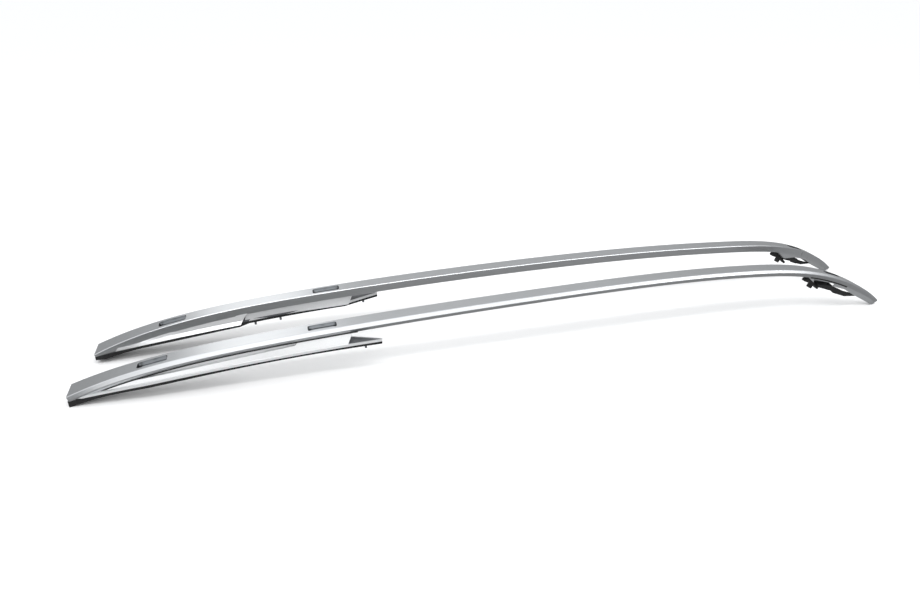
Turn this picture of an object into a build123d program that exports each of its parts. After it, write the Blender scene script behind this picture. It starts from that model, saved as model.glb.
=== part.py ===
"""Pair of raised roof side rails: each is a bent bar on a long front foot and a short rear foot."""
import os
from math import cos, exp, radians, sin, tan

from build123d import *

os.makedirs("parts", exist_ok=True)

# Overall sizes in millimetres: X runs from the front tips to the rear tips, Z is up from the floor.
# Distances are measured from the front tip, and insets from the bar's outer top edge towards the middle.
length = 1850
rail_spacing = 209  # between the outer top edges of the two rails
stagger = 21  # how much further back the right rail stands
front_x = -(length + stagger) / 2
edge_y = -rail_spacing / 2

# Outer top edge of the left rail: distance, inset from the straight line between its tips, height
top_edge_points = [
    (0, 0, 23),
    (70, 0, 47),
    (200, -1, 75.5),
    (460, -1, 103),
    (1000, 4, 127),
    (1300, 10, 129.5),
    (1500, 12, 122.5),
    (1680, 7, 98.5),
    (1780, 1, 59),
    (1850, 0, 11.5),
]

# Bar section: flat top, pointed outer nose, upright inner wall.
# It flares at the front and tapers at the rear. Its inside, which nothing opens, is solid here.
bar_width = 36
front_flare = 14  # added to the width at the front tip
flare_length = 120
tip_width = 9
taper_start = 0.82  # fraction of the edge's length where the bar begins to taper
taper_power = 2.4
bar_depth = 18.5  # at the front tip
depth_loss = 2.5  # from the front tip to the rear tip, before the taper
tip_depth = 8.5
nose_reach = 6  # outside the top edge
tip_nose_reach = 2
nose_share = 0.5  # share of the depth that lies above the nose at the front tip
nose_rise = 0.2  # how much less of it does at the rear tip
undercut = 2  # inset of the bar's outer bottom edge
edge_bevel = 1  # on the edges that show
bar_steps = 24
bar_lengths = {
    "front": (0, 230),
    "neck": (230, 420),
    "shoulder": (420, 640),
    "middle": (640, 1100),
    "back": (1100, 1560),
    "rear": (1560, length),
}

# Pockets in the top of the bar for the mounting bolts: distance, length and width
pockets = {"front": (162, 59, 22), "middle": (496, 59, 22), "rear": (1711, 42, 18)}
pocket_radius = 5
pocket_floor = 2.8  # thickness of the bar under a pocket
seat_drop = 9  # of a seat's top below the bar's
seat_end_gap = 3
seat_side_gap = 2
seat_corner = 4
bolt_hole_radius = 3.3
bar_bolt_hole_radius = 5
cover_bolt_hole_radius = 8

# Front foot: its lower edge follows the crown and the sideways slope of a roof
foot_length = 614
foot_edge_heights = (12.5, 48, 68.2)  # at the front tip, half way and at the toe
foot_slope = radians(5)  # rising inwards
foot_set_out = 8  # how far its outer edge stands outside the bar's top edge
foot_outline = [
    (1, 0), (150, -foot_set_out), (foot_length, -foot_set_out - 1), (foot_length, -foot_set_out + 3),
    (535, 28), (322, 32), (302, 43), (150, 46), (1, 50),
]
toe_start = 540
toe_radius = 2
lip_height = 5
lip_back = [(0, -20), (14, -20), (14, 3.8), (150, -2), (toe_start - 6, -3), (toe_start - 6, 80), (0, 80)]
cover_lap = 4  # how far the feet are drawn up into the bar before they are trimmed to it
cover_top = 3.5  # thickness of a cover where it lies under the bar
cover_sections = [
    (28, -1.5, 40), (60, -3.2, 33), (150, -8, 33), (300, -8.3, 32), (460, -8.7, 30), (580, -9, 28),
]
cover_flare = 7  # how much further in the cover's inner wall stands at its foot
skirt_sections = [(28, 46, 0.3), (62, 45, 1), (150, 40.5, 5), (325, 38, 5)]  # distance, inset, flare
skirt_root = 20
skirt_end = [(300, 0), (300, 46), (324, 80), (340, 120), (420, 120), (420, 0)]
skirt_flare_height = 7
panel_inset = 6
panel_outline = [(60, 31.5), (120, 41), (438, 77), (455, 94), (455, 120), (60, 80)]
trailing_cut = [(534, 50), (557, 95), (570, 120), (660, 120), (660, 50)]
cavity_outline = [(130, 9.5), (toe_start - 4, 9.5), (toe_start - 4, 18), (326, 21), (306, 33), (130, 36)]
cavity_distances = (130, 250, 390, toe_start - 4)
base_thickness = 4
base_outline = [
    (132, 9.5), (toe_start, 9.5), (toe_start, -6.6), (foot_length - 4, -7), (foot_length - 4, -4.5),
    (toe_start - 4, 25), (326, 28), (306, 33), (132, 36),
]
base_windows = [(162, 20.5), (496, 17.5)]
window_size = (76, 15)
pegs = [(335, 23.5), (390, 23), (580, -2)]
peg_radius = 2.5
peg_gap = 0.3
peg_reach = 13  # below the foot's lower edge
gasket_curve = [(0, -2), (24, 5.5), (60, 14.2), (142, 24.8), (277, 40.2), (foot_length, 62.7)]
gasket_tip_slope = radians(11)  # of the gasket's tip, which stands on its outer corner

# Rear foot: distance and the insets of its outer and inner face, then its side views
rear_sections = [(1628, 9, 34), (1684, 7, 31), (1740, 4.5, 25), (1790, 2, 18), (length, 0.8, 6.5)]
rear_outline = [
    (1638, 130), (1644.5, 87.8), (1672.5, 63.5), (1709, 61.6), (1747, 50.5), (1773.5, 35),
    (1814.5, 13.3), (1838, 0), (1852, -1), (1852, 130),
]
rear_slope = radians(10)  # of its lower faces, rising inwards
rear_inset = 10  # where the side views are drawn
rear_lap = 7  # depth in the bar from which the rear foot is drawn
rear_drop = 60
rear_depth = 17.5  # depth of the bar over the rear foot, measured upright
rear_cavity_outline = [(1662, 13), (1766, 6.5), (1766, 18), (1720, 26), (1662, 33)]
rear_cavity_distances = (1662, 1715, 1766)
pad_outline = [
    (1676, 65.5), (1709, 61.6), (1749, 42.8), (1773.5, 35), (1781, 31),
    (1751, 32), (1719, 42.3), (1716.3, 47.1), (1676, 59.3),
]
pad_relief = [(1722, 15), (1800, 7.5), (1800, 60), (1722, 60)]  # plan of the space behind its strip
clip_outline = [
    (1642, 80.5), (1648, 84), (1661, 84), (1666, 72), (1671, 68.5), (1685, 54),
    (1681, 51), (1668, 64), (1663, 55), (1658, 57), (1662.3, 67.8), (1641, 76),
]
clip_width = 12
clip_inset = 26


def edge_fraction(distance):
    """Fraction of the top edge's length that lies within this distance of the front tip."""
    low, high = 0.0, 1.0
    for _ in range(40):
        middle = (low + high) / 2
        if (top_edge @ middle).X < front_x + distance:
            low = middle
        else:
            high = middle
    return low


def edge_height(distance):
    """Height of the top edge at this distance from the front tip."""
    return (top_edge @ edge_fraction(distance)).Z


def section_plane(fraction):
    """Plane square to the top edge, with x towards the middle of the pair and y up."""
    return Plane(origin=top_edge @ fraction, x_dir=(0, 1, 0), z_dir=top_edge % fraction)


def seat_plane(distance, inset, drop):
    """Plane along the bar, this far in from its top edge and below it, with x along the bar."""
    section = section_plane(edge_fraction(distance))
    return Plane(origin=section.from_local_coords((inset, -drop)), x_dir=section.z_dir, z_dir=section.y_dir)


def pocket_plane(distance, rise):
    """Plane along the middle of the bar, this far above its underside."""
    width, _, depth = bar_size(edge_fraction(distance))
    return seat_plane(distance, width / 2, depth - rise)


def bar_size(fraction):
    """Top width, reach of the nose and depth of the bar at this fraction of its edge."""
    flare = exp(-fraction * length / flare_length)
    taper = max(0, (fraction - taper_start) / (1 - taper_start)) ** taper_power
    width = bar_width + front_flare * flare - (bar_width - tip_width) * taper
    nose = (nose_reach - (nose_reach - tip_nose_reach) * flare) * min(1, width / bar_width)
    depth = bar_depth - depth_loss * fraction
    return width, nose, depth - (depth - tip_depth) * taper**2


def bar_corners(fraction):
    """Corners of the bar's section, from the outer top edge round by the nose to the inner top edge."""
    width, nose, depth = bar_size(fraction)
    share = min(1, width / bar_width)
    bevel = edge_bevel * share
    tip = Vector(-nose, -depth * (nose_share - nose_rise * fraction))
    bottom = Vector(undercut * share, -depth)
    upper = tip.normalized() * bevel
    lower = (bottom - tip).normalized() * bevel
    return [
        (bevel, 0), upper, tip - upper, tip + lower, bottom,
        (width, -depth), (width, -bevel), (width - bevel, 0),
    ]


def side(points):
    """Points of a side view, given by distance and height, on the XZ plane."""
    return [(front_x + distance, height) for distance, height in points]


def plan(points):
    """Points of a plan, given by distance and inset, on the XY plane."""
    return [(front_x + distance, edge_y + inset) for distance, inset in points]


def foot_line(distance, inset):
    """Height of the front foot's lower face, near enough to place what is trimmed to it."""
    start, middle, end = foot_edge_heights
    share = distance / foot_length
    outer_height = start + (end - start) * share + 4 * (middle - (start + end) / 2) * share * (1 - share)
    return outer_height + (foot_set_out + inset) * tan(foot_slope)


def raised(points, rise):
    """Points of a side view, lifted."""
    return [(distance, height + rise) for distance, height in points]


with BuildLine() as edge_line:
    Spline(*[(front_x + along, edge_y + inset, height) for along, inset, height in top_edge_points])
top_edge = edge_line.edge()
foot_plane = Plane.XZ.offset(foot_set_out - edge_y)
foot_direction = (0, cos(foot_slope), sin(foot_slope))
foot_reach = 90
foot_start, foot_middle, foot_end = foot_edge_heights
foot_arc = [(0, foot_start), (foot_length / 2, foot_middle), (foot_length, foot_end)]
rear_plane = Plane.XZ.offset(-edge_y - rear_inset)
rear_direction = (0, cos(rear_slope), sin(rear_slope))

# Outer form of the bar, before it is cut
with BuildPart() as bar_form:
    for step in range(bar_steps + 1):
        fraction = step / bar_steps
        with BuildSketch(section_plane(fraction)):
            with BuildLine():
                Polyline(*bar_corners(fraction), close=True)
            make_face()
    loft()

# Space below the front foot, which trims everything in it to the line of the roof
with BuildPart() as roof_space:
    with BuildSketch(foot_plane):
        with BuildLine():
            ThreePointArc(*side(foot_arc))
            Polyline(*side([
                (foot_length, foot_end), (foot_length + 40, foot_end), (foot_length + 40, -60),
                (-30, -60), (-30, foot_start), (0, foot_start),
            ]))
        make_face()
    extrude(amount=foot_reach, dir=foot_direction, both=True)

# Bar with its mitred front end, its pockets and the bolt holes under them
with BuildPart() as whole_bar:
    add(bar_form.part)
    add(roof_space.part, mode=Mode.SUBTRACT)
    for distance, along, across in pockets.values():
        with BuildSketch(pocket_plane(distance, pocket_floor)):
            RectangleRounded(along, across, pocket_radius)
        extrude(amount=2 * bar_depth, mode=Mode.SUBTRACT)
        with BuildSketch(pocket_plane(distance, 0)):
            Circle(bar_bolt_hole_radius)
        extrude(amount=2 * pocket_floor, both=True, mode=Mode.SUBTRACT)

# The bar's lengths, which meet end to end
bars = {}
for place, (start, end) in bar_lengths.items():
    with BuildPart() as bar:
        add(whole_bar.part)
        if start > 0:
            split(bisect_by=section_plane(edge_fraction(start)))
        if end < length:
            split(bisect_by=section_plane(edge_fraction(end)), keep=Keep.BOTTOM)
    bars[place] = bar

# Cast seats that stand in the pockets and take the mounting bolts
seats = {}
for place, (distance, along, across) in pockets.items():
    _, _, depth = bar_size(edge_fraction(distance))
    seat_base = pocket_plane(distance, pocket_floor)
    with BuildPart() as seat:
        with BuildSketch(seat_base):
            Rectangle(along - 2 * seat_end_gap, across - 2 * seat_side_gap)
            chamfer(vertices(), seat_corner)
            Circle(bolt_hole_radius, mode=Mode.SUBTRACT)
        extrude(amount=depth - pocket_floor - seat_drop)
    seats[place] = seat

# Floor of the front foot with its bare toe and the pegs that find holes in the roof
with BuildPart() as front_foot_base:
    with BuildSketch(foot_plane):
        with BuildLine():
            lower = ThreePointArc(*side(foot_arc))
            upper = ThreePointArc(*side(raised(foot_arc, base_thickness)))
            Line(lower @ 0, upper @ 0)
            Line(lower @ 1, upper @ 1)
        make_face()
    extrude(amount=foot_reach, dir=foot_direction, both=True)
    with BuildSketch():
        with BuildLine():
            Polyline(*plan(base_outline), close=True)
        make_face()
        with Locations(*plan(base_windows)):
            Rectangle(*window_size, mode=Mode.SUBTRACT)
    extrude(amount=length, mode=Mode.INTERSECT)
    for distance, inset in pegs:
        with BuildSketch(Plane.XY.offset(foot_line(distance, inset) - peg_reach)):
            with Locations(*plan([(distance, inset)])):
                Circle(peg_radius)
        extrude(amount=peg_reach + base_thickness / 2)

# Rubber gasket under the front foot, deep at the tip that stands on the floor
with BuildPart() as front_foot_gasket:
    with BuildSketch(foot_plane):
        with BuildLine():
            upper = ThreePointArc(*side(foot_arc))
            lower = Spline(*side(gasket_curve))
            Line(lower @ 0, upper @ 0)
            Line(lower @ 1, upper @ 1)
        make_face()
    extrude(amount=foot_reach, dir=foot_direction, both=True)
    with BuildSketch(Plane.XY.offset(-length)):
        with BuildLine():
            Polyline(*plan(foot_outline), close=True)
        make_face()
        fillet(vertices().sort_by(Axis.X)[-2:], toe_radius)
        with Locations(*plan(base_windows)):
            Rectangle(*window_size, mode=Mode.SUBTRACT)
        with Locations(*plan(pegs)):
            RegularPolygon(peg_radius + peg_gap, 6, major_radius=False, mode=Mode.SUBTRACT)
    extrude(amount=2 * length, mode=Mode.INTERSECT)
    tip_up = (0, -sin(gasket_tip_slope), cos(gasket_tip_slope))
    split(bisect_by=Plane((front_x, edge_y, 0), (1, 0, 0), tip_up))

# Skirt of the front cover on the inner side, flared at its foot and ended by a slanted edge
with BuildPart() as inner_skirt:
    for distance, inset, flare in skirt_sections:
        under = edge_height(distance) - bar_depth
        low = foot_line(distance, inset)
        with BuildSketch(Plane.YZ.offset(front_x + distance)):
            with BuildLine():
                Polyline(
                    (edge_y + skirt_root, under + cover_lap / 2),
                    (edge_y + inset - 1, under + cover_lap / 2),
                    (edge_y + inset, low + skirt_flare_height),
                    (edge_y + inset + flare, low),
                    (edge_y + inset + flare, low - 2 * cover_lap),
                    (edge_y + skirt_root, low - 2 * cover_lap),
                    close=True,
                )
            make_face()
    loft()
    with BuildSketch(foot_plane):
        with BuildLine():
            Polyline(*side(skirt_end), close=True)
        make_face()
    extrude(amount=length, both=True, mode=Mode.SUBTRACT)

# Hollow inside the front cover, open to the base
with BuildPart() as front_hollow:
    with BuildSketch(foot_plane):
        with BuildLine():
            Polyline(
                *side([(along, edge_height(along) - bar_depth - cover_top) for along in cavity_distances]),
                *side([(cavity_distances[-1], 0), (cavity_distances[0], 0)]),
                close=True,
            )
        make_face()
    extrude(amount=length, both=True)
    with BuildSketch():
        with BuildLine():
            Polyline(*plan(cavity_outline), close=True)
        make_face()
    extrude(amount=length, mode=Mode.INTERSECT)

# Lip along the front cover's outer edge, which goes on round the toe as a thin rim
with BuildPart() as lip:
    with BuildSketch(foot_plane):
        with BuildLine():
            lower = ThreePointArc(*side(foot_arc))
            upper = ThreePointArc(*side(raised(foot_arc, lip_height)))
            Line(lower @ 0, upper @ 0)
            Line(lower @ 1, upper @ 1)
        make_face()
    extrude(amount=foot_reach, dir=foot_direction, both=True)
    with BuildSketch():
        with BuildLine():
            Polyline(*plan(foot_outline), close=True)
        make_face()
        fillet(vertices().sort_by(Axis.X)[-2:], toe_radius)
        with BuildLine():
            Polyline(*plan(base_outline), close=True)
        make_face(mode=Mode.SUBTRACT)
        with BuildLine():
            Polyline(*plan(lip_back), close=True)
        make_face(mode=Mode.SUBTRACT)
    extrude(amount=length, mode=Mode.INTERSECT)

# Front cover: the fairing under the front of the bar
with BuildPart() as front_foot_cover:
    for distance, outer, inner in cover_sections:
        under = edge_height(distance) - bar_depth
        low = foot_line(distance, outer) - cover_lap
        with BuildSketch(Plane.YZ.offset(front_x + distance)):
            with BuildLine():
                Polyline(
                    (edge_y + outer, low),
                    (edge_y + undercut + 1, under + cover_lap),
                    (edge_y + inner - cover_flare, under + cover_lap),
                    (edge_y + inner, low),
                    close=True,
                )
            make_face()
    loft()
    with BuildSketch(foot_plane):
        with BuildLine():
            Polyline(*side(trailing_cut), close=True)
        make_face()
    extrude(amount=length, both=True, mode=Mode.SUBTRACT)
    with BuildSketch(Plane.XZ.offset(-edge_y - panel_inset)):
        with BuildLine():
            Polyline(*side(panel_outline), close=True)
        make_face()
    extrude(amount=length, mode=Mode.SUBTRACT)
    add(inner_skirt.part)
    add(front_hollow.part, mode=Mode.SUBTRACT)
    add(roof_space.part, mode=Mode.SUBTRACT)
    add(lip.part)
    add(bar_form.part, mode=Mode.SUBTRACT)
    add(front_foot_base.part, mode=Mode.SUBTRACT)
    for place in ("front", "middle"):
        with BuildSketch(pocket_plane(pockets[place][0], 0)):
            Circle(cover_bolt_hole_radius)
        extrude(amount=2 * cover_top, both=True, mode=Mode.SUBTRACT)

# Body of the rear foot, which its cover and its pad are cut from
with BuildPart() as rear_form:
    for distance, outer, inner in rear_sections:
        with BuildSketch(section_plane(edge_fraction(distance))):
            with BuildLine():
                Polyline(
                    (outer, -rear_lap),
                    (inner, -rear_lap),
                    (inner, -rear_drop),
                    (outer, -rear_drop),
                    close=True,
                )
            make_face()
    loft()

# Hollow inside the rear cover, open below
with BuildPart() as rear_hollow:
    with BuildSketch(foot_plane):
        with BuildLine():
            Polyline(
                *side([
                    (along, edge_height(along) - rear_depth - cover_top) for along in rear_cavity_distances
                ]),
                *side([(rear_cavity_distances[-1], 0), (rear_cavity_distances[0], 0)]),
                close=True,
            )
        make_face()
    extrude(amount=length, both=True)
    with BuildSketch():
        with BuildLine():
            Polyline(*plan(rear_cavity_outline), close=True)
        make_face()
    extrude(amount=length, mode=Mode.INTERSECT)

# Rear cover: a wedge under the bar that runs out into its tip, with an arch over the pad
with BuildPart() as rear_foot_cover:
    with BuildSketch(rear_plane):
        with BuildLine():
            Polyline(*side(rear_outline), close=True)
        make_face()
    extrude(amount=foot_reach, dir=rear_direction, both=True)
    add(rear_form.part, mode=Mode.INTERSECT)
    split(bisect_by=Plane.XY)
    add(rear_hollow.part, mode=Mode.SUBTRACT)
    add(bar_form.part, mode=Mode.SUBTRACT)
    with BuildSketch(pocket_plane(pockets["rear"][0], 0)):
        Circle(cover_bolt_hole_radius)
    extrude(amount=2 * cover_top, both=True, mode=Mode.SUBTRACT)

# Spring clip that hooks under the front of the rear cover
with BuildPart() as rear_foot_clip:
    with BuildSketch(Plane.XZ.offset(-edge_y - clip_inset)):
        with BuildLine():
            Polyline(*side(clip_outline), close=True)
        make_face()
    extrude(amount=clip_width / 2, both=True)
    add(rear_foot_cover.part, mode=Mode.SUBTRACT)

# Rubber pad under the rear cover: a block, and an outer strip that spans the arch
with BuildPart() as rear_foot_pad:
    with BuildSketch(rear_plane):
        with BuildLine():
            Polyline(*side(pad_outline), close=True)
        make_face()
    extrude(amount=foot_reach, dir=rear_direction, both=True)
    add(rear_form.part, mode=Mode.INTERSECT)
    with BuildSketch():
        with BuildLine():
            Polyline(*plan(pad_relief), close=True)
        make_face()
    extrude(amount=length, mode=Mode.SUBTRACT)
    add(rear_foot_cover.part, mode=Mode.SUBTRACT)
    add(rear_foot_clip.part, mode=Mode.SUBTRACT)

left_pieces = {
    "front_bar": bars["front"],
    "neck_bar": bars["neck"],
    "shoulder_bar": bars["shoulder"],
    "middle_bar": bars["middle"],
    "back_bar": bars["back"],
    "rear_bar": bars["rear"],
    "front_pocket_seat": seats["front"],
    "middle_pocket_seat": seats["middle"],
    "rear_pocket_seat": seats["rear"],
    "front_foot_cover": front_foot_cover,
    "front_foot_base": front_foot_base,
    "front_foot_gasket": front_foot_gasket,
    "rear_foot_cover": rear_foot_cover,
    "rear_foot_pad": rear_foot_pad,
    "rear_foot_clip": rear_foot_clip,
}
for name, left in left_pieces.items():
    left.part.label = f"left_{name}"
    export_step(left.part, f"parts/left_{name}.step")

# The right rail mirrors the left one and stands a little further back
for name, left in left_pieces.items():
    with BuildPart() as right:
        with Locations((stagger, 0, 0)):
            add(mirror(left.part, about=Plane.XZ, mode=Mode.PRIVATE))
    right.part.label = f"right_{name}"
    export_step(right.part, f"parts/right_{name}.step")
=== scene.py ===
"""Looks of a pair of silver roof side rails: finishes, floor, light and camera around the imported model."""
import math

import bpy
from mathutils import Euler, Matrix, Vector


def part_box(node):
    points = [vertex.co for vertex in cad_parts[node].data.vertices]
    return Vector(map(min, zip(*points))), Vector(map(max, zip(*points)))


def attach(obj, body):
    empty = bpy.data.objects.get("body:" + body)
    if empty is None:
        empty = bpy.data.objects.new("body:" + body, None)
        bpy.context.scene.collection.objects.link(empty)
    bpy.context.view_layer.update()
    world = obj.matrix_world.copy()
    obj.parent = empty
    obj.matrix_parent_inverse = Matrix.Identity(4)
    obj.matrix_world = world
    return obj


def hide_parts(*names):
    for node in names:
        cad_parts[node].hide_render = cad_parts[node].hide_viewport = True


bl_info = {
    "name": "Roof side rail finishes",
    "version": (1, 0, 0),
    "blender": (4, 5, 0),
    "location": "View3D > Sidebar > Roof rails",
    "description": "Finishes, floor, light and camera for a pair of silver roof side rails",
    "category": "Object",
}

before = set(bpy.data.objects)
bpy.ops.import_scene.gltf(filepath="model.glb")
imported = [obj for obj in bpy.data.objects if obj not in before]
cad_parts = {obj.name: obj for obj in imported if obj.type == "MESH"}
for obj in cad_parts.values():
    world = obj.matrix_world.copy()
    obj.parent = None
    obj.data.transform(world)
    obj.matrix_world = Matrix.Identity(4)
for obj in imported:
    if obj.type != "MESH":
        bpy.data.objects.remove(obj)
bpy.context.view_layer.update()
SIDES = {"left": -1, "right": 1}  # each rail, and the way along Y that its outer side faces
BAR_LENGTHS = ("front", "neck", "shoulder", "middle", "back", "rear")
POCKETS = ("front", "middle", "rear")

# Angles in degrees above which an edge stays sharp
BAR_ANGLE = 20
COVER_ANGLE = 25
SMALL_PIECE_ANGLE = 30
BEAD_ANGLE = 40

# Distances in metres
BEAD_STOPS = {"front": 0.052, "rear": 0.1}  # how far each bead ends before the toe or the tip
JOINT_REACH = 0.006  # faces this close to a joint between two lengths of bar belong to it
WELD_REACH = 0.00002  # corners closer than this become one
POCKET_MARGIN_X = 0.006  # the walls of a pocket lie this close around its seat
POCKET_MARGIN_Y = 0.004

# Parts of a face's normal that tell the faces of a bar apart
END_X = 0.95  # the end of a length has more than this along the bar
WALL_Z = 0.6  # the wall of a pocket has less than this up or down
UNDERSIDE_Y, UNDERSIDE_Z = 0.3, -0.75  # the underside has less than these sideways and up
OUTER_SIDE_Y, OUTER_SIDE_Z = 0.5, -0.2  # the lower outer side: more than the first out, less up

# Shares and tones in the bar's finish
STREAK_SQUEEZE = 0.012  # of the pattern along X, so that a streak is some 80 times as long as wide
CLOUD_SHARE = 0.35  # of the cloudy patches beside the streaks
POCKET_SHADE_TONE = 0.08  # tone of the painted shade at a pocket's end, beside the silver
POCKET_SIDE_SHADE_SHARE = 0.1  # how much of that painted shade the sides of a pocket take on

# The sockets of a Mix node go by number, because several have the same name
COLOUR_A, COLOUR_B, COLOUR_OUT = 6, 7, 2
VALUE_A, VALUE_B, VALUE_OUT = 2, 3, 0

# Strength of the world by the height of a direction, which is 0 at the horizon and 1 overhead
DIM_UP_TO, DIM_STRENGTH = 0.35, 0.4
BRIGHT_FROM, BRIGHT_STRENGTH = 0.75, 1.35
WORLD_TINT = (0.98, 0.99, 1, 1)

# Place, aim and size of each lamp in metres, and its power in watts
LAMPS = {
    "front_softbox": ((-0.8, -2.8, 1.55), (-0.5, 0.0, 0.75), (5.0, 2.5), 37),
    "strip_light": ((0.6, -0.9, 2.1), (0.6, 0.0, 0.1), (4.4, 0.3), 20),
    "back_softbox": ((-1.0, 2.5, 1.42), (-0.5, 0.0, 0.1), (0.9, 0.8), 3.2),
}
SENSOR_WIDTH = 36  # of the camera, in millimetres


def linear(hex_colour):
    """Linear red, green and blue of an sRGB hex colour such as "#aab0b6"."""
    values = [int(hex_colour[place:place + 2], 16) / 255 for place in (1, 3, 5)]
    return tuple(v / 12.92 if v <= 0.04045 else ((v + 0.055) / 1.055) ** 2.4 for v in values)


def colour_property(name, description, hex_colour):
    """A colour that a user can change."""
    return bpy.props.FloatVectorProperty(
        name=name, description=description, subtype="COLOR", size=3, min=0, max=1,
        default=linear(hex_colour),
    )


def size_property(name, description, millimetres):
    """A small size that a user can change, kept in metres."""
    return bpy.props.FloatProperty(
        name=name, description=description, unit="LENGTH", min=0.00005, precision=5,
        default=millimetres / 1000,
    )


class RailFinishSettings(bpy.types.PropertyGroup):
    """Colours and grain sizes of the rails' finishes."""

    bar_silver: colour_property("Bar silver", "Satin silver of the anodised bars", "#c9cbcd")
    # Paler than the bars' silver, as painted light on the front covers
    cover_silver_with_painted_light: colour_property("Cover silver", "Silver paint on the front covers", "#e3e4e5")
    cast_grey: colour_property("Cast grey", "Bare cast aluminium of the pocket seats", "#c4c7ca")
    base_grey: colour_property("Base grey", "Dark moulded floor of the front foot", "#5c5e61")
    rubber_black: colour_property("Rubber black", "Gaskets, pads and beads", "#121213")
    clip_black: colour_property("Clip black", "Spring clips at the rear", "#0d0d0e")
    # Real streaks, flakes and grains are several times finer, and are drawn this coarse so that they show
    streak_width: size_property("Streak width", "Width of the lengthwise lines in the bar", 1.2)
    flake_size: size_property("Flake size", "Size of the flakes in the silver paint", 1.5)
    cast_grain: size_property("Cast grain", "Grain of the cast seats", 1.2)
    mould_grain: size_property("Mould grain", "Grain of the moulded floor", 1)
    # These are about as large as real ones
    cloud_size: size_property("Cloud size", "Size of the faint patches in the bar's silver", 111)
    peel_size: size_property("Peel size", "Size of the ripples in the silver paint", 6)
    flow_size: size_property("Flow size", "Size of the faint patches in moulded plastic", 16.7)
    bloom_size: size_property("Bloom size", "Size of the pale patches on the rubber", 14)
    # The beads are painted shadow: black strips in the joints, where shade falls under the bar's overhang
    shadow_bead_radius: size_property("Bead radius", "Radius of the rubber beads in the joints over the feet", 1.7)


class RailStageSettings(bpy.types.PropertyGroup):
    """Floor, light and camera."""

    floor_white: colour_property("Floor white", "Paper that the rails stand on", "#fafafa")
    floor_shade: colour_property("Floor shade", "Tone of the paper in the rails' reflections", "#909090")
    floor_size: bpy.props.FloatProperty(
        name="Floor size", description="Side of the square floor", unit="LENGTH", default=40
    )
    fibre_size: size_property("Fibre size", "Size of the faint flecks in the paper", 2.5)
    camera_place: bpy.props.FloatVectorProperty(
        name="Camera place", description="Where the camera stands", subtype="XYZ", unit="LENGTH",
        default=(-0.478, -1.409, 0.806),
    )
    camera_tilt: bpy.props.FloatProperty(
        name="Camera tilt", description="How far the camera looks below the horizon", subtype="ANGLE",
        default=math.radians(26.91),
    )
    camera_turn: bpy.props.FloatProperty(
        name="Camera turn", description="How far the camera is turned from looking across the rails",
        subtype="ANGLE", default=math.radians(-13.95),
    )
    lens: bpy.props.FloatProperty(name="Lens", description="Focal length in millimetres", default=28.17)


def add_node(tree, kind, settings=(), inputs=()):
    """A new node with its settings, and with each input given a value or linked to an output."""
    made = tree.nodes.new(kind)
    for name, value in dict(settings).items():
        setattr(made, name, value)
    for name, value in dict(inputs).items():
        if isinstance(value, bpy.types.NodeSocket):
            tree.links.new(value, made.inputs[name])
        else:
            made.inputs[name].default_value = value
    return made


def new_material(name):
    """An empty node material, its tree, and the coordinates of the object it is put on."""
    material = bpy.data.materials.new(name)
    material.use_nodes = True
    tree = material.node_tree
    tree.nodes.clear()
    place = add_node(tree, "ShaderNodeTexCoord").outputs["Object"]
    return material, tree, place


def shaded(colour, factor):
    """A colour made darker or lighter, with full alpha."""
    return tuple(min(1.0, channel * factor) for channel in colour) + (1.0,)


def anodised_aluminium(finish):
    """Satin anodised aluminium, extruded and bent: a soft wide sheen with faint lines along it."""
    material, tree, place = new_material("anodised_aluminium_extruded")
    along = add_node(
        tree, "ShaderNodeMapping", inputs={"Vector": place, "Scale": (STREAK_SQUEEZE, 1, 1)}
    )
    streaks = add_node(
        tree, "ShaderNodeTexNoise",
        inputs={
            "Vector": along.outputs["Vector"], "Scale": 1 / finish.streak_width,
            "Detail": 3, "Roughness": 0.6,
        },
    )
    clouds = add_node(
        tree, "ShaderNodeTexNoise", inputs={"Vector": place, "Scale": 1 / finish.cloud_size, "Detail": 2}
    )
    blend = add_node(
        tree, "ShaderNodeMath", {"operation": "MULTIPLY_ADD"},
        {0: clouds.outputs["Fac"], 1: CLOUD_SHARE, 2: streaks.outputs["Fac"]},
    )
    tone = add_node(tree, "ShaderNodeValToRGB", inputs={"Fac": blend.outputs["Value"]})
    tone.color_ramp.elements[0].position = 0.35
    tone.color_ramp.elements[0].color = shaded(finish.bar_silver, 0.93)
    tone.color_ramp.elements[1].color = shaded(finish.bar_silver, 1.05)
    # Painted shade: the real bar is hollow, so the ends of its pockets open into the dark, and here the
    # solid bar is coloured dark instead
    ends = add_node(tree, "ShaderNodeAttribute", {"attribute_name": "pocket_painted_shade"})
    colour = add_node(
        tree, "ShaderNodeMix", {"data_type": "RGBA"},
        {
            "Factor": ends.outputs["Fac"], COLOUR_A: tone.outputs["Color"],
            COLOUR_B: shaded(finish.bar_silver, POCKET_SHADE_TONE),
        },
    )
    gloss = add_node(
        tree, "ShaderNodeMapRange",
        inputs={
            "Value": streaks.outputs["Fac"], "From Min": 0.25, "From Max": 0.75,
            "To Min": 0.27, "To Max": 0.34,
        },
    )
    lines = add_node(
        tree, "ShaderNodeBump",
        inputs={"Height": streaks.outputs["Fac"], "Strength": 0.05, "Distance": 0.0002},
    )
    shader = add_node(
        tree, "ShaderNodeBsdfPrincipled",
        inputs={
            "Base Color": colour.outputs[COLOUR_OUT], "Metallic": 1.0,
            "Roughness": gloss.outputs["Result"], "Normal": lines.outputs["Normal"],
        },
    )
    add_node(tree, "ShaderNodeOutputMaterial", inputs={"Surface": shader.outputs["BSDF"]})
    return material


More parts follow.
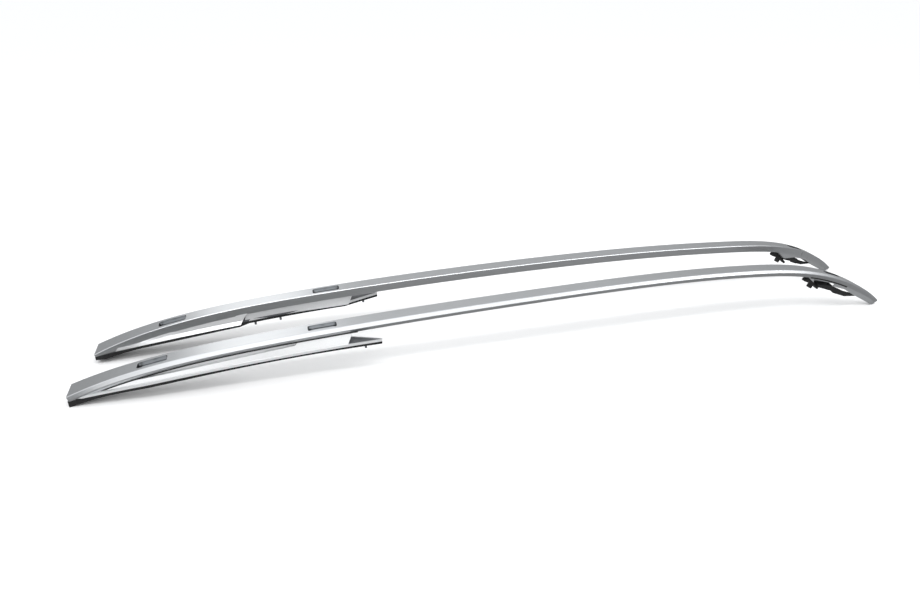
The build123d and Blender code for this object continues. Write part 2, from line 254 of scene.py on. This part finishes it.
def silver_painted_abs(name, colour, finish, metallic):
    """Moulded ABS with metallic silver paint: fine flakes, a faint ripple and a clear gloss on top."""
    material, tree, place = new_material(name)
    flakes = add_node(
        tree, "ShaderNodeTexVoronoi", inputs={"Vector": place, "Scale": 1 / finish.flake_size}
    )
    peel = add_node(
        tree, "ShaderNodeTexNoise", inputs={"Vector": place, "Scale": 1 / finish.peel_size, "Detail": 1}
    )
    grey = add_node(tree, "ShaderNodeRGBToBW", inputs={"Color": flakes.outputs["Color"]})
    tone = add_node(tree, "ShaderNodeValToRGB", inputs={"Fac": grey.outputs["Val"]})
    tone.color_ramp.elements[0].color = shaded(colour, 0.97)
    tone.color_ramp.elements[1].color = shaded(colour, 1.03)
    gloss = add_node(
        tree, "ShaderNodeMapRange", inputs={"Value": grey.outputs["Val"], "To Min": 0.29, "To Max": 0.33}
    )
    ripple = add_node(
        tree, "ShaderNodeBump",
        inputs={"Height": peel.outputs["Fac"], "Strength": 0.04, "Distance": 0.0004},
    )
    shader = add_node(
        tree, "ShaderNodeBsdfPrincipled",
        inputs={
            "Base Color": tone.outputs["Color"], "Metallic": metallic,
            "Roughness": gloss.outputs["Result"], "Coat Weight": 0.3, "Coat Roughness": 0.12,
            "Normal": ripple.outputs["Normal"],
        },
    )
    add_node(tree, "ShaderNodeOutputMaterial", inputs={"Surface": shader.outputs["BSDF"]})
    return material


def cast_aluminium(finish):
    """Die cast aluminium, bare: a dull grey with a sandy skin and darker hollows."""
    material, tree, place = new_material("cast_aluminium_bare")
    grain = add_node(
        tree, "ShaderNodeTexNoise", inputs={"Vector": place, "Scale": 1 / finish.cast_grain, "Detail": 4}
    )
    tone = add_node(tree, "ShaderNodeValToRGB", inputs={"Fac": grain.outputs["Fac"]})
    tone.color_ramp.elements[0].position = 0.3
    tone.color_ramp.elements[0].color = shaded(finish.cast_grey, 0.88)
    tone.color_ramp.elements[1].position = 0.75
    tone.color_ramp.elements[1].color = shaded(finish.cast_grey, 1.05)
    skin = add_node(
        tree, "ShaderNodeBump",
        inputs={"Height": grain.outputs["Fac"], "Strength": 0.1, "Distance": 0.0002},
    )
    shader = add_node(
        tree, "ShaderNodeBsdfPrincipled",
        inputs={
            "Base Color": tone.outputs["Color"], "Metallic": 1.0, "Roughness": 0.45,
            "Normal": skin.outputs["Normal"],
        },
    )
    add_node(tree, "ShaderNodeOutputMaterial", inputs={"Surface": shader.outputs["BSDF"]})
    return material


def moulded_plastic(name, colour, finish, grain_size, roughness):
    """Dark moulded nylon or acetal with a spark eroded grain: a dry sheen broken up by fine pits."""
    material, tree, place = new_material(name)
    grain = add_node(tree, "ShaderNodeTexVoronoi", inputs={"Vector": place, "Scale": 1 / grain_size})
    flow = add_node(
        tree, "ShaderNodeTexNoise", inputs={"Vector": place, "Scale": 1 / finish.flow_size, "Detail": 3}
    )
    tone = add_node(tree, "ShaderNodeValToRGB", inputs={"Fac": flow.outputs["Fac"]})
    tone.color_ramp.elements[0].position = 0.3
    tone.color_ramp.elements[0].color = shaded(colour, 0.85)
    tone.color_ramp.elements[1].position = 0.7
    tone.color_ramp.elements[1].color = shaded(colour, 1.15)
    pits = add_node(
        tree, "ShaderNodeBump",
        inputs={"Height": grain.outputs["Distance"], "Strength": 0.2, "Distance": 0.0002},
    )
    shader = add_node(
        tree, "ShaderNodeBsdfPrincipled",
        inputs={
            "Base Color": tone.outputs["Color"], "Roughness": roughness, "IOR": 1.53,
            "Normal": pits.outputs["Normal"],
        },
    )
    add_node(tree, "ShaderNodeOutputMaterial", inputs={"Surface": shader.outputs["BSDF"]})
    return material


def moulded_rubber(finish):
    """Moulded EPDM rubber: deep matt black with faint grey bloom."""
    material, tree, place = new_material("epdm_rubber_moulded")
    bloom = add_node(
        tree, "ShaderNodeTexNoise", inputs={"Vector": place, "Scale": 1 / finish.bloom_size, "Detail": 5}
    )
    tone = add_node(tree, "ShaderNodeValToRGB", inputs={"Fac": bloom.outputs["Fac"]})
    tone.color_ramp.elements[0].position = 0.4
    tone.color_ramp.elements[0].color = shaded(finish.rubber_black, 1.0)
    tone.color_ramp.elements[1].position = 0.8
    tone.color_ramp.elements[1].color = shaded(finish.rubber_black, 2.4)
    dull = add_node(
        tree, "ShaderNodeMapRange", inputs={"Value": bloom.outputs["Fac"], "To Min": 0.6, "To Max": 0.9}
    )
    skin = add_node(
        tree, "ShaderNodeBump",
        inputs={"Height": bloom.outputs["Fac"], "Strength": 0.1, "Distance": 0.0005},
    )
    shader = add_node(
        tree, "ShaderNodeBsdfPrincipled",
        inputs={
            "Base Color": tone.outputs["Color"], "Roughness": dull.outputs["Result"], "IOR": 1.52,
            "Normal": skin.outputs["Normal"],
        },
    )
    add_node(tree, "ShaderNodeOutputMaterial", inputs={"Surface": shader.outputs["BSDF"]})
    return material


def white_paper(stage):
    """White paper, rolled: dead matt, with hardly any fibre to see."""
    material, tree, place = new_material("white_paper")
    fibre = add_node(
        tree, "ShaderNodeTexNoise", inputs={"Vector": place, "Scale": 1 / stage.fibre_size, "Detail": 2}
    )
    tone = add_node(tree, "ShaderNodeValToRGB", inputs={"Fac": fibre.outputs["Fac"]})
    tone.color_ramp.elements[0].color = shaded(stage.floor_white, 0.99)
    tone.color_ramp.elements[1].color = shaded(stage.floor_white, 1.0)
    # Glossy rays meet a greyer paper, which gives the silver its darker tones
    mirrored = add_node(tree, "ShaderNodeLightPath").outputs["Is Glossy Ray"]
    paper = add_node(
        tree, "ShaderNodeMix", {"data_type": "RGBA"},
        {
            "Factor": mirrored, COLOUR_A: tone.outputs["Color"],
            COLOUR_B: shaded(stage.floor_shade, 1.0),
        },
    )
    shader = add_node(
        tree, "ShaderNodeBsdfPrincipled",
        inputs={"Base Color": paper.outputs[COLOUR_OUT], "Roughness": 1.0, "Specular IOR Level": 0.0},
    )
    add_node(tree, "ShaderNodeOutputMaterial", inputs={"Surface": shader.outputs["BSDF"]})
    return material


def select_none(edges=False, faces=False):
    """Leaves nothing of the active piece selected, so that the named kind can be picked out."""
    bpy.context.tool_settings.mesh_select_mode = (False, edges, faces)
    bpy.ops.object.mode_set(mode="EDIT")
    bpy.ops.mesh.select_all(action="DESELECT")
    bpy.ops.object.mode_set(mode="OBJECT")


def finished(title, names, material, angle):
    """A mesh that stands for these solids: joined end to end, facets merged and curves smoothed."""
    bpy.ops.object.select_all(action="DESELECT")
    for name in names:
        piece = bpy.data.objects.new(title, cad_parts[name].data.copy())
        bpy.context.scene.collection.objects.link(piece)
        piece.select_set(True)
    bpy.context.view_layer.objects.active = piece
    if len(names) > 1:
        bpy.ops.object.join()
    piece.name = title
    mesh = piece.data

    # The end faces inside the joints go, so that no seam shows
    joints = [(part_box(a)[1][0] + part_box(b)[0][0]) / 2 for a, b in zip(names, names[1:])]
    select_none(faces=True)
    for face in mesh.polygons:
        at_joint = any(abs(face.center.x - x) < JOINT_REACH for x in joints)
        face.select = at_joint and abs(face.normal.x) > END_X
    bpy.ops.object.mode_set(mode="EDIT")
    bpy.ops.mesh.delete(type="FACE")
    bpy.ops.mesh.select_all(action="SELECT")
    bpy.ops.mesh.remove_doubles(threshold=WELD_REACH)
    bpy.ops.object.mode_set(mode="OBJECT")

    bpy.ops.mesh.customdata_custom_splitnormals_clear()
    bpy.ops.object.shade_smooth_by_angle(angle=math.radians(angle))
    even = piece.modifiers.new("even_shading", "WEIGHTED_NORMAL")
    even.mode = "FACE_AREA_WITH_ANGLE"
    even.keep_sharp = True
    bpy.ops.object.modifier_apply(modifier=even.name)
    mesh.materials.clear()
    mesh.materials.append(material)
    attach(piece, "root")
    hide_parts(*names)
    return piece


def paint_pocket_shade(bar, side):
    """Marks where shade is painted on the walls of the pockets, fully at their ends and faintly along their
    sides.
    """
    shade_marks = bar.data.attributes.new("pocket_painted_shade", "FLOAT", "FACE")
    seats = [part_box(f"{side}_{place}_pocket_seat") for place in POCKETS]
    for face in bar.data.polygons:
        x, y, _ = face.center
        inside = any(
            low[0] - POCKET_MARGIN_X < x < high[0] + POCKET_MARGIN_X
            and low[1] - POCKET_MARGIN_Y < y < high[1] + POCKET_MARGIN_Y
            for low, high in seats
        )
        if inside and abs(face.normal.z) < WALL_Z:
            along = abs(face.normal.x)
            shade_marks.data[face.index].value = POCKET_SIDE_SHADE_SHARE + (1 - POCKET_SIDE_SHADE_SHARE) * along


class RAILS_OT_bars(bpy.types.Operator):
    """Finish the two bent bars, each in one length"""

    bl_idname = "rails.bars"
    bl_label = "Bars"

    def execute(self, context):
        material = anodised_aluminium(context.scene.rail_finish)
        for side in SIDES:
            names = [f"{side}_{place}_bar" for place in BAR_LENGTHS]
            bar = finished(f"{side}_bar_finished", names, material, BAR_ANGLE)
            # Painted shade at the ends and sides of the pockets
            paint_pocket_shade(bar, side)
        return {"FINISHED"}


class RAILS_OT_covers(bpy.types.Operator):
    """Finish the moulded covers of the front and rear feet, with painted light on the front ones and painted
    shade on the rear ones
    """

    bl_idname = "rails.covers"
    bl_label = "Foot covers"

    def execute(self, context):
        finish = context.scene.rail_finish
        # Painted light and shade: one cover paint, paler and less metallic on the front covers where the
        # light is strong, and in the bars' darker silver, more metallic, on the rear covers that face away
        # from it
        lit_and_shaded_paints = {
            "front": silver_painted_abs(
                "silver_painted_abs_with_painted_light", finish.cover_silver_with_painted_light, finish, metallic=0.5
            ),
            "rear": silver_painted_abs("silver_painted_abs", finish.bar_silver, finish, metallic=0.9),
        }
        for side in SIDES:
            for place, paint in lit_and_shaded_paints.items():
                name = f"{side}_{place}_foot_cover"
                finished(f"{name}_finished", [name], paint, COVER_ANGLE)
        return {"FINISHED"}


class RAILS_OT_seats(bpy.types.Operator):
    """Finish the cast seats in the pockets"""

    bl_idname = "rails.seats"
    bl_label = "Pocket seats"

    def execute(self, context):
        material = cast_aluminium(context.scene.rail_finish)
        for side in SIDES:
            for place in POCKETS:
                name = f"{side}_{place}_pocket_seat"
                finished(f"{name}_finished", [name], material, SMALL_PIECE_ANGLE)
        return {"FINISHED"}


class RAILS_OT_bases(bpy.types.Operator):
    """Finish the dark floors of the front feet"""

    bl_idname = "rails.bases"
    bl_label = "Foot floors"

    def execute(self, context):
        finish = context.scene.rail_finish
        material = moulded_plastic(
            "glass_filled_nylon_moulded", finish.base_grey, finish, finish.mould_grain, roughness=0.55
        )
        for side in SIDES:
            name = f"{side}_front_foot_base"
            finished(f"{name}_finished", [name], material, SMALL_PIECE_ANGLE)
        return {"FINISHED"}


def shadow_line_bead(side, place, radius, material):
    """A thin bead of black rubber along the bar's lower outer edge, in the joint with a cover: a dark strip
    that paints the shadow line of that joint.
    """
    bar = bpy.data.objects[f"{side}_bar_finished"]
    outward = SIDES[side]
    cover_low, cover_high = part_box(f"{side}_{place}_foot_cover")
    start, end = cover_low[0], cover_high[0] - BEAD_STOPS[place]
    beside = {}
    for face in bar.data.polygons:
        for key in face.edge_keys:
            beside.setdefault(key, []).append(face.normal)

    # A copy of the edges between the underside and the outer side becomes the bead's path
    bpy.ops.object.select_all(action="DESELECT")
    bar.select_set(True)
    bpy.context.view_layer.objects.active = bar
    select_none(edges=True)
    for edge in bar.data.edges:
        ends = [bar.data.vertices[index].co.x for index in edge.vertices]
        normals = beside[edge.key]
        edge.select = (
            start < min(ends) < end
            and any(n.z < UNDERSIDE_Z and abs(n.y) < UNDERSIDE_Y for n in normals)
            and any(n.z < OUTER_SIDE_Z and n.y * outward > OUTER_SIDE_Y for n in normals)
        )
    bpy.ops.object.mode_set(mode="EDIT")
    bpy.ops.mesh.duplicate()
    bpy.ops.mesh.separate(type="SELECTED")
    bpy.ops.object.mode_set(mode="OBJECT")
    bar.select_set(False)
    bpy.context.view_layer.objects.active = bpy.context.selected_objects[0]

    bpy.ops.object.convert(target="CURVE")
    path = bpy.context.active_object.data
    path.bevel_depth = radius
    path.bevel_resolution = 2
    path.use_fill_caps = True
    bpy.ops.object.convert(target="MESH")
    bead = bpy.context.active_object
    bpy.ops.object.shade_smooth_by_angle(angle=math.radians(BEAD_ANGLE))
    bead.name = f"{side}_{place}_foot_shadow_bead"
    bead.data.materials.clear()
    bead.data.materials.append(material)
    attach(bead, "root")


class RAILS_OT_rubber(bpy.types.Operator):
    """Finish the gaskets and the pads, and lay black beads in the joints over the feet as painted shadow
    lines
    """

    bl_idname = "rails.rubber"
    bl_label = "Gaskets, pads and beads"

    def execute(self, context):
        finish = context.scene.rail_finish
        material = moulded_rubber(finish)
        for side in SIDES:
            for piece in ("front_foot_gasket", "rear_foot_pad"):
                name = f"{side}_{piece}"
                finished(f"{name}_finished", [name], material, SMALL_PIECE_ANGLE)
            # Black beads paint the shadow line in the joints between bar and covers
            for place in BEAD_STOPS:
                shadow_line_bead(side, place, finish.shadow_bead_radius, material)
        return {"FINISHED"}


class RAILS_OT_clips(bpy.types.Operator):
    """Finish the spring clips of the rear feet"""

    bl_idname = "rails.clips"
    bl_label = "Spring clips"

    def execute(self, context):
        finish = context.scene.rail_finish
        material = moulded_plastic(
            "acetal_moulded", finish.clip_black, finish, finish.mould_grain / 2, roughness=0.4
        )
        for side in SIDES:
            name = f"{side}_rear_foot_clip"
            finished(f"{name}_finished", [name], material, SMALL_PIECE_ANGLE)
        return {"FINISHED"}


def soft_studio():
    """A world that is bright overhead and dim near the horizon, but white where the camera sees it."""
    world = bpy.data.worlds.new("soft_studio")
    world.use_nodes = True
    tree = world.node_tree
    tree.nodes.clear()
    way = add_node(tree, "ShaderNodeTexCoord").outputs["Generated"]
    height = add_node(tree, "ShaderNodeSeparateXYZ", inputs={"Vector": way})
    room = add_node(
        tree, "ShaderNodeMapRange", {"interpolation_type": "SMOOTHSTEP"},
        {
            "Value": height.outputs["Z"], "From Min": DIM_UP_TO, "From Max": BRIGHT_FROM,
            "To Min": DIM_STRENGTH, "To Max": BRIGHT_STRENGTH,
        },
    )
    seen = add_node(tree, "ShaderNodeLightPath").outputs["Is Camera Ray"]
    strength = add_node(
        tree, "ShaderNodeMix", inputs={"Factor": seen, VALUE_A: room.outputs["Result"], VALUE_B: 1.0}
    )
    glow = add_node(
        tree, "ShaderNodeBackground",
        inputs={"Color": WORLD_TINT, "Strength": strength.outputs[VALUE_OUT]},
    )
    add_node(tree, "ShaderNodeOutputWorld", inputs={"Surface": glow.outputs["Background"]})
    return world


def add_lamp(name, place, aim, size, power):
    """A large soft lamp that shines from its place towards its aim."""
    light = bpy.data.lights.new(name, "AREA")
    light.shape = "RECTANGLE"
    light.size, light.size_y = size
    light.energy = power
    lamp = bpy.data.objects.new(name, light)
    bpy.context.scene.collection.objects.link(lamp)
    lamp.location = place
    x, y, z = (a - b for a, b in zip(aim, place))
    yaw = math.atan2(y, x) - math.pi / 2
    pitch = math.atan2(z, math.hypot(x, y))
    lamp.rotation_euler = (math.pi / 2 + pitch, 0, yaw)


class RAILS_OT_stage(bpy.types.Operator):
    """Lay the pale floor and set the soft light and the camera"""

    bl_idname = "rails.stage"
    bl_label = "Floor, light and camera"

    def execute(self, context):
        scene = context.scene
        stage = scene.rail_stage
        bpy.ops.object.select_all(action="DESELECT")
        bpy.ops.mesh.primitive_plane_add(size=stage.floor_size)
        floor = context.active_object
        floor.name = "paper_floor"
        floor.data.materials.append(white_paper(stage))

        scene.world = soft_studio()
        for name, values in LAMPS.items():
            add_lamp(name, *values)

        camera = bpy.data.objects.new("camera", bpy.data.cameras.new("camera"))
        scene.collection.objects.link(camera)
        camera.location = stage.camera_place
        camera.rotation_euler = Euler((math.pi / 2 - stage.camera_tilt, 0, stage.camera_turn))
        camera.data.sensor_width = SENSOR_WIDTH
        camera.data.lens = stage.lens
        scene.camera = camera
        scene.view_settings.view_transform = "Standard"
        return {"FINISHED"}


class RAILS_PT_panel(bpy.types.Panel):
    """The settings of the rails, and the steps of finishing them in order"""

    bl_idname = "RAILS_PT_panel"
    bl_label = "Roof rails"
    bl_space_type = "VIEW_3D"
    bl_region_type = "UI"
    bl_category = "Roof rails"

    def draw(self, context):
        for group in (context.scene.rail_finish, context.scene.rail_stage):
            for name in group.__annotations__:
                self.layout.prop(group, name)
        for step in STEPS:
            self.layout.operator(step.bl_idname)


STEPS = (
    RAILS_OT_bars, RAILS_OT_covers, RAILS_OT_seats, RAILS_OT_bases, RAILS_OT_rubber, RAILS_OT_clips,
    RAILS_OT_stage,
)
CLASSES = (RailFinishSettings, RailStageSettings) + STEPS + (RAILS_PT_panel,)


def register():
    for cls in CLASSES:
        bpy.utils.register_class(cls)
    bpy.types.Scene.rail_finish = bpy.props.PointerProperty(type=RailFinishSettings)
    bpy.types.Scene.rail_stage = bpy.props.PointerProperty(type=RailStageSettings)


def unregister():
    del bpy.types.Scene.rail_stage
    del bpy.types.Scene.rail_finish
    for cls in reversed(CLASSES):
        bpy.utils.unregister_class(cls)


def main():
    register()
    bpy.ops.rails.bars()
    bpy.ops.rails.covers()
    bpy.ops.rails.seats()
    bpy.ops.rails.bases()
    bpy.ops.rails.rubber()
    bpy.ops.rails.clips()
    bpy.ops.rails.stage()


if __name__ == "__main__":
    main()
